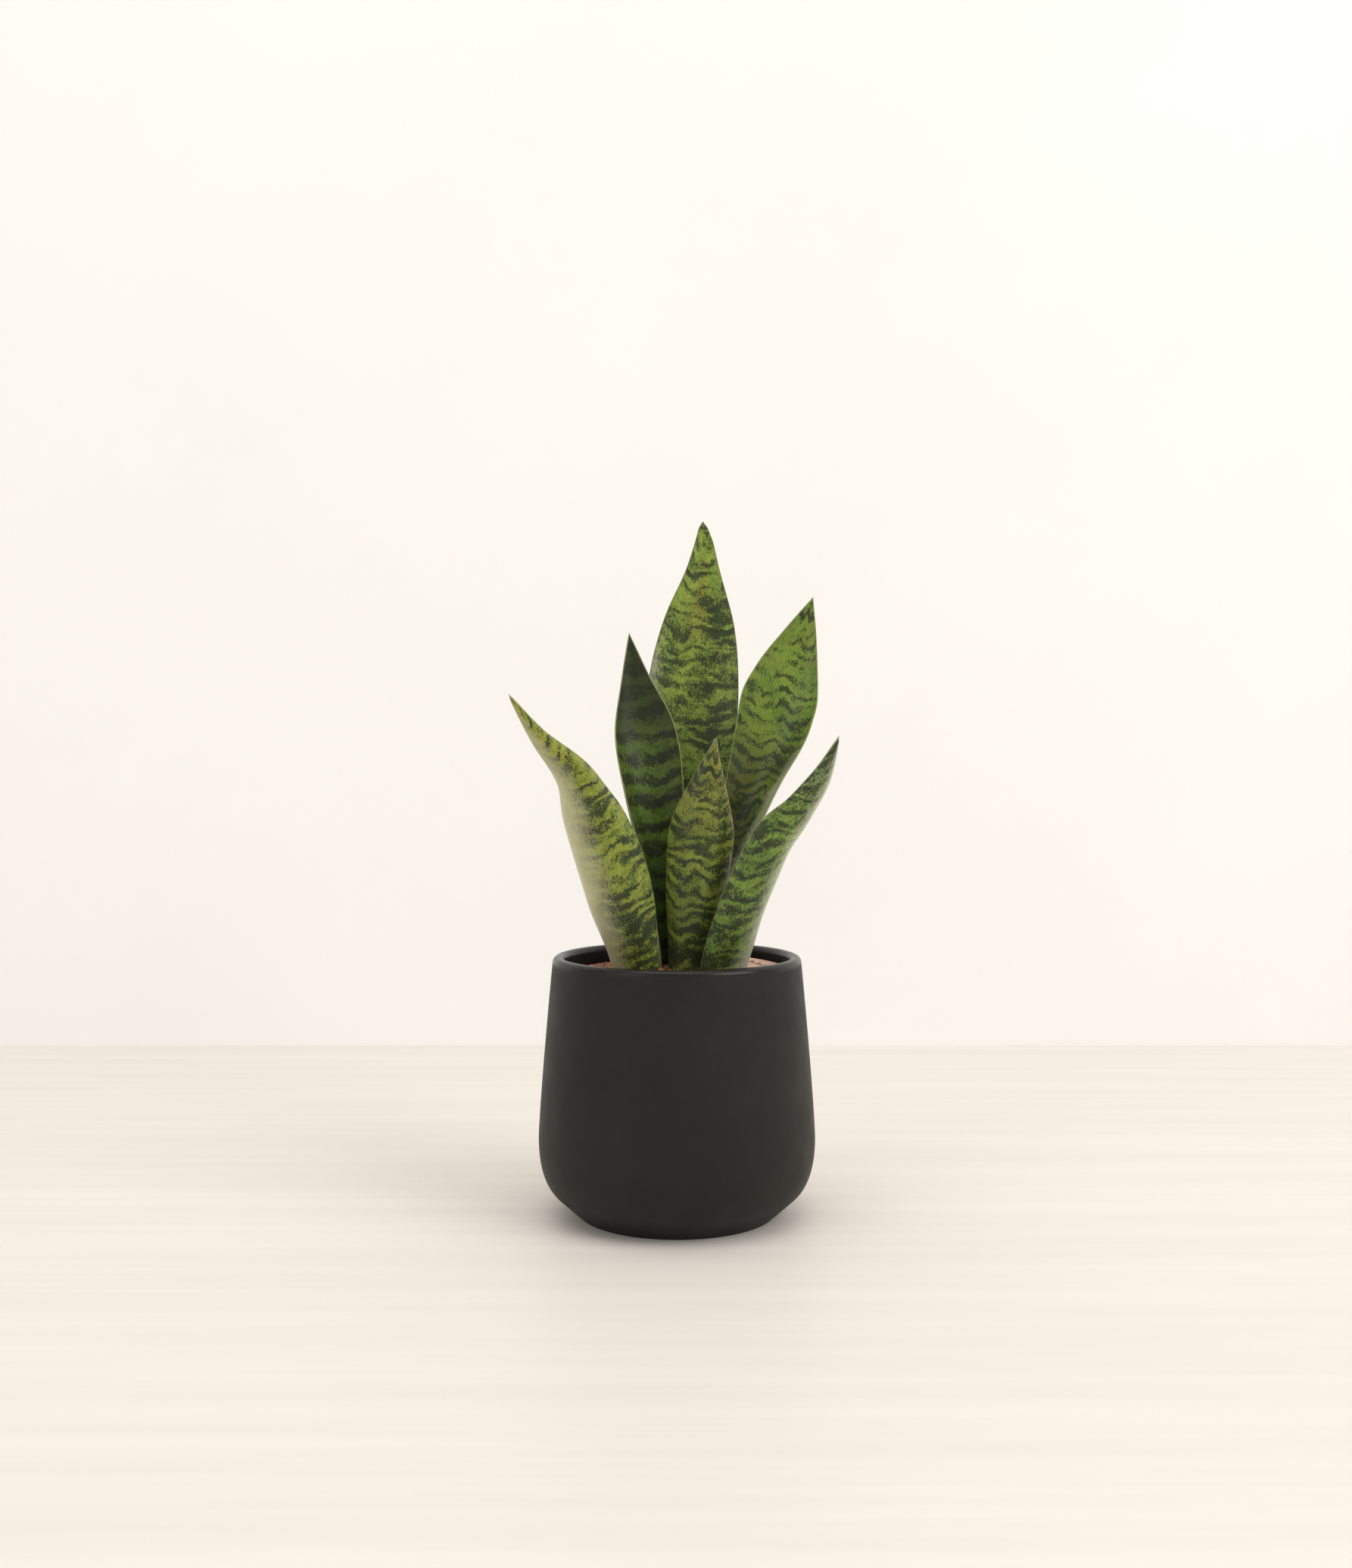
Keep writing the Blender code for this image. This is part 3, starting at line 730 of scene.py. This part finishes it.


# Broken bands of ragged dark green over a mottled ground with painted shade along it, a painted sheen
# on the flank, and a pale line along the margins.
def bladeSkin(name, leaf):
    made, tree, shader = newMaterial(name + "_skin")
    across, along = split(tree, painted(tree, "bladeGuide").outputs["Vector"])[:2]
    sideways, share, inward = split(tree, painted(tree, "edgeGuide").outputs["Vector"])
    plane = combine(tree, across, along)
    texture = {kind: bladeTexture(tree, plane, leaf["seed"], setting)
               for kind, setting in bladeTextures.items()}
    line = bandLine(tree, leaf, along, sideways, texture)
    level = bandLevel(tree, leaf, across, line, share, texture)
    darkness = between(tree, level, *bladePaint["dark"])
    smudge = between(tree, level, *bladePaint["smudge"])
    mottle = mixed(tree, texture, bladePaint["mottle"], 0.5)
    colour = bladeGround(tree, leaf, sideways, share, mottle, texture)
    half = tuple(middle * bladePaint["halfMiddle"] + dark * bladePaint["halfDark"]
                 for middle, dark in zip(leaf["middle"], leaf["dark"]))
    colour = blend(tree, sums(tree, "MULTIPLY", smudge, bladePaint["smudgeShare"]), colour, half)
    core = blend(tree, between(tree, mottle, 0.45, 0.65, 0, 0.35), leaf["dark"], half)
    colour = blend(tree, sums(tree, "MULTIPLY", darkness, bladePaint["darkShare"]), colour, core)
    # painted sheen: the pale flank colour laid over the skin
    paintedSheen = bladePaintedSheen(tree, leaf, sideways, share, texture)
    colour = blend(tree, paintedSheen, colour, leaf["sheenColour"])
    rim = between(tree, inward, *bladePaint["rim"], bladePaint["rimShare"], 0.0)
    colour = blend(tree, rim, colour, leaf["rim"])
    tree.links.new(colour, shader.inputs["Base Color"])

    tree.links.new(between(tree, texture["fine"], 0.3, 0.7, 0.33, 0.43), shader.inputs["Roughness"])
    shader.inputs["Specular IOR Level"].default_value = 0.3
    shader.inputs["Sheen Weight"].default_value = 0.14
    shader.inputs["Sheen Roughness"].default_value = 0.4
    shader.inputs["Sheen Tint"].default_value = (1, 0.98, 0.9, 1)
    bump(tree, shader, mixed(tree, texture, bladePaint["relief"], 0.5), 0.00012, 0.45)
    return made


for leafName, leafPlan in leafPlans.items():
    makeBlade(leafName, leafPlan)
    print("leaf made:", leafName)


# Gravel

gravelPlan = {
    "rise": 0.006, "crown": 0.0038, "crownPower": 4, "grain": 0.00068, "count": 5200, "batch": 200,
    "seed": 7, "sunk": 0.0009, "wallGap": 0.0003, "edgeGap": 0.0008, "bedDrop": 0.0017,
    "bedLift": 0.0002, "bedGap": 0.0006, "bedSteps": 12, "bedSides": 96, "bedPaintedShade": (0.12, 0.2, 0),
    "sizes": (0.7, 1.5), "stretch": (0.75, 1.25), "below": 0.6, "ragged": 0.14, "darkBias": 1.3,
}
gravelLow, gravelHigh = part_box("gravel")
gravelEdge = gravelHigh.z - gravelPlan["rise"]
innerRadius = hollowRadius(gravelEdge)
gravelRadius = innerRadius - gravelPlan["wallGap"]


def gravelHeight(radius):
    fall = (radius / gravelRadius) ** gravelPlan["crownPower"]
    return gravelEdge + gravelPlan["crown"] * (1 - fall)


def brownStone():
    made, tree, shader = newMaterial("brown_stone")
    shade, warmth = split(tree, painted(tree, "grainTone").outputs["Vector"])[:2]
    colour = blend(tree, shade, (0.05, 0.015, 0.007), (0.58, 0.22, 0.095))
    colour = blend(tree, between(tree, warmth, 0.6, 1.0, 0, 0.5), colour, (0.50, 0.27, 0.17))
    dust = noise(tree, coordinates(tree), 2600, 3, 0.6)
    colour = blend(tree, between(tree, dust, 0.4, 0.75, 0, 0.4), colour, (0.16, 0.06, 0.03))
    tree.links.new(colour, shader.inputs["Base Color"])
    tree.links.new(between(tree, dust, 0.3, 0.7, 0.5, 0.75), shader.inputs["Roughness"])
    bump(tree, shader, dust, 0.0001, 0.5)
    return made


# The smooth bed that the loose grains lie on, painted dark as shade between the grains.
def gravelBed():
    plan = gravelPlan
    foot = gravelLow.z + plan["bedLift"]
    bed = [(0, foot), (hollowRadius(gravelLow.z) - plan["bedGap"], foot)]
    for step in range(plan["bedSteps"] + 1):
        radius = gravelRadius * (1 - step / plan["bedSteps"])
        bed.append((radius, gravelHeight(radius) - plan["bedDrop"]))
    bm = turned(bed, plan["bedSides"])
    # painted shade: the whole bed takes one dark grain tone
    layer = bm.verts.layers.float_vector.new("grainTone")
    for v in bm.verts:
        v[layer] = plan["bedPaintedShade"]
    return bm


def anyWay(picker):
    return Vector([picker.uniform(-1, 1) for i in range(3)])


def addGrain(bm, layer, picker):
    plan = gravelPlan
    radius = (gravelRadius - plan["edgeGap"]) * math.sqrt(picker.random())
    angle = picker.random() * math.tau
    size = plan["grain"] * picker.uniform(*plan["sizes"])
    height = gravelHeight(radius) - size * plan["below"] - plan["sunk"] * picker.random()
    place = Matrix.Translation((radius * math.cos(angle), radius * math.sin(angle), height))
    tilt = Matrix.Rotation(picker.random() * math.tau, 4, anyWay(picker))
    shape = Matrix.Diagonal([size * picker.uniform(*plan["stretch"]) for i in range(3)] + [1])
    made = bmesh.ops.create_icosphere(bm, subdivisions=1, radius=1, matrix=place @ tilt @ shape)
    tone = (picker.random() ** plan["darkBias"], picker.random(), 0)
    for v in made["verts"]:
        v.co += anyWay(picker) * size * plan["ragged"]
        v[layer] = tone


# Small batches, because adding to a large bmesh is slow.
def pourInto(total, bm):
    batch = bpy.data.meshes.new("gravel_batch")
    bm.to_mesh(batch)
    bm.free()
    total.from_mesh(batch)
    bpy.data.meshes.remove(batch)


def makeGravel():
    picker = random.Random(gravelPlan["seed"])
    total = bmesh.new()
    pourInto(total, gravelBed())
    for first in range(0, gravelPlan["count"], gravelPlan["batch"]):
        bm = bmesh.new()
        layer = bm.verts.layers.float_vector.new("grainTone")
        for grain in range(gravelPlan["batch"]):
            addGrain(bm, layer, picker)
        pourInto(total, bm)
    piece = finishPiece("gravel_grains", total, brownStone(), 30)
    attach(piece, "root")
    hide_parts("gravel")


makeGravel()
print("gravel strewn")


# Plant marker

markerPlan = {
    "thickness": 0.003, "sunk": 0.0014, "wallGap": 0.0015, "turn": 10, "radius": 0.020,
    "tip": 2.5, "wornRadius": 0.0206, "edgeRound": 0.0005, "sides": 96,
}


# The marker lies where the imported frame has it, on the domed bed.
def markerMatrix():
    distance = innerRadius - markerPlan["wallGap"] - markerPlan["radius"]
    slope = math.atan(2 * gravelPlan["rise"] * distance / innerRadius ** 2)
    dome = gravelEdge + gravelPlan["rise"] * (1 - (distance / innerRadius) ** 2)
    return (
        Matrix.Rotation(math.radians(markerPlan["turn"]), 4, "Z")
        @ Matrix.Translation((distance, 0, dome - markerPlan["sunk"]))
        @ Matrix.Rotation(slope, 4, "Y")
        @ Matrix.Rotation(math.radians(markerPlan["tip"]), 4, "X")
    )


def paleWood():
    made, tree, shader = newMaterial("pale_wood")
    place = stretched(tree, coordinates(tree), (1, 1, 1), math.radians(35))
    grain = noise(tree, stretched(tree, place, (60, 900, 200)), 1.0, 5, 0.6)
    broad = noise(tree, stretched(tree, place, (25, 220, 60)), 1.0, 3, 0.5, 0.4)
    colour = blend(tree, between(tree, broad, 0.3, 0.7), (0.47, 0.27, 0.18), (0.60, 0.385, 0.27))
    colour = blend(tree, between(tree, grain, 0.45, 0.75, 0, 0.5), colour, (0.36, 0.19, 0.115))
    tree.links.new(colour, shader.inputs["Base Color"])
    tree.links.new(between(tree, grain, 0.3, 0.7, 0.5, 0.65), shader.inputs["Roughness"])
    bump(tree, shader, grain, 0.0002, 0.5)
    return made


def makeMarker():
    plan = markerPlan
    bm = bmesh.new()
    bmesh.ops.create_cone(bm, cap_ends=True, segments=plan["sides"], radius1=plan["wornRadius"],
                          radius2=plan["wornRadius"], depth=plan["thickness"],
                          matrix=Matrix.Translation((0, 0, plan["thickness"] / 2)))
    rims = [e for e in bm.edges if any(len(f.verts) > 4 for f in e.link_faces)]
    bmesh.ops.bevel(bm, geom=rims, offset=plan["edgeRound"], affect="EDGES", segments=4,
                    profile=0.5, material=-1)
    bmesh.ops.transform(bm, verts=bm.verts, matrix=markerMatrix())
    bmesh.ops.recalc_face_normals(bm, faces=bm.faces)
    piece = finishPiece("marker_wood", bm, paleWood(), 30)
    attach(piece, "root")
    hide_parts("plant_marker")


sprigPlan = {
    "centre": (0.0045, -0.0005), "turn": 118, "length": 0.023, "stemWidth": 0.0006, "pairs": 4,
    "leaflet": (0.0052, 0.0019), "spread": 38, "firstPair": -0.32, "stalk": 1.2,
    "proud": 0.00008, "sunk": 0.00006, "sides": 28,
}


def darkPrint():
    made, tree, shader = newMaterial("dark_print")
    tone = noise(tree, coordinates(tree), 1800, 3, 0.6)
    colour = blend(tree, between(tree, tone, 0.3, 0.7), (0.085, 0.035, 0.018), (0.17, 0.075, 0.04))
    tree.links.new(colour, shader.inputs["Base Color"])
    shader.inputs["Roughness"].default_value = 0.7
    return made


# One flat oval, its long way turned by turn degrees.
def addOval(bm, place, size, turn):
    depth = sprigPlan["proud"] + sprigPlan["sunk"]
    height = markerPlan["thickness"] + (sprigPlan["proud"] - sprigPlan["sunk"]) / 2
    matrix = (
        Matrix.Translation((*place, height))
        @ Matrix.Rotation(math.radians(turn), 4, "Z")
        @ Matrix.Diagonal((size[0] / 2, size[1] / 2, 1, 1))
    )
    bmesh.ops.create_cone(bm, cap_ends=True, segments=sprigPlan["sides"], radius1=1, radius2=1,
                          depth=depth, matrix=matrix)


def makeSprig():
    plan = sprigPlan
    bm = bmesh.new()
    way = math.radians(plan["turn"])
    addOval(bm, plan["centre"], (plan["length"], plan["stemWidth"]), plan["turn"])
    for pair in range(plan["pairs"]):
        along = plan["length"] * (pair / plan["pairs"] + plan["firstPair"])
        for side in (-1, 1):
            lean = way + side * math.radians(plan["spread"])
            out = plan["leaflet"][0] / 2 + plan["stemWidth"] * plan["stalk"]
            place = (plan["centre"][0] + along * math.cos(way) + out * math.cos(lean),
                     plan["centre"][1] + along * math.sin(way) + out * math.sin(lean))
            addOval(bm, place, plan["leaflet"], math.degrees(lean))
    bmesh.ops.transform(bm, verts=bm.verts, matrix=markerMatrix())
    piece = finishPiece("marker_sprig", bm, darkPrint(), 30)
    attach(piece, "root")


makeMarker()
makeSprig()
print("marker laid")


# What stays out of sight under the gravel

def darkSoil():
    made, tree, shader = newMaterial("dark_soil")
    place = coordinates(tree)
    clod = noise(tree, place, 320, 6, 0.65)
    colour = blend(tree, between(tree, clod, 0.3, 0.7), (0.012, 0.008, 0.005), (0.07, 0.045, 0.028))
    tree.links.new(colour, shader.inputs["Base Color"])
    tree.links.new(between(tree, clod, 0.3, 0.7, 0.8, 0.95), shader.inputs["Roughness"])
    bump(tree, shader, clod, 0.001, 0.7)
    return made


def rhizomeSkin():
    made, tree, shader = newMaterial("rhizome_skin")
    place = coordinates(tree)
    ringed = noise(tree, stretched(tree, place, (90, 90, 700)), 1.0, 4, 0.55)
    colour = blend(tree, between(tree, ringed, 0.3, 0.7), (0.30, 0.17, 0.08), (0.56, 0.42, 0.26))
    tree.links.new(colour, shader.inputs["Base Color"])
    tree.links.new(between(tree, ringed, 0.3, 0.7, 0.55, 0.75), shader.inputs["Roughness"])
    bump(tree, shader, ringed, 0.0005, 0.5)
    return made


def dressNode(node, material):
    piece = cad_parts[node]
    piece.data.materials.clear()
    piece.data.materials.append(material)


dressNode("potting_mix", darkSoil())
dressNode("rhizome", rhizomeSkin())
print("soil and rootstock dressed")
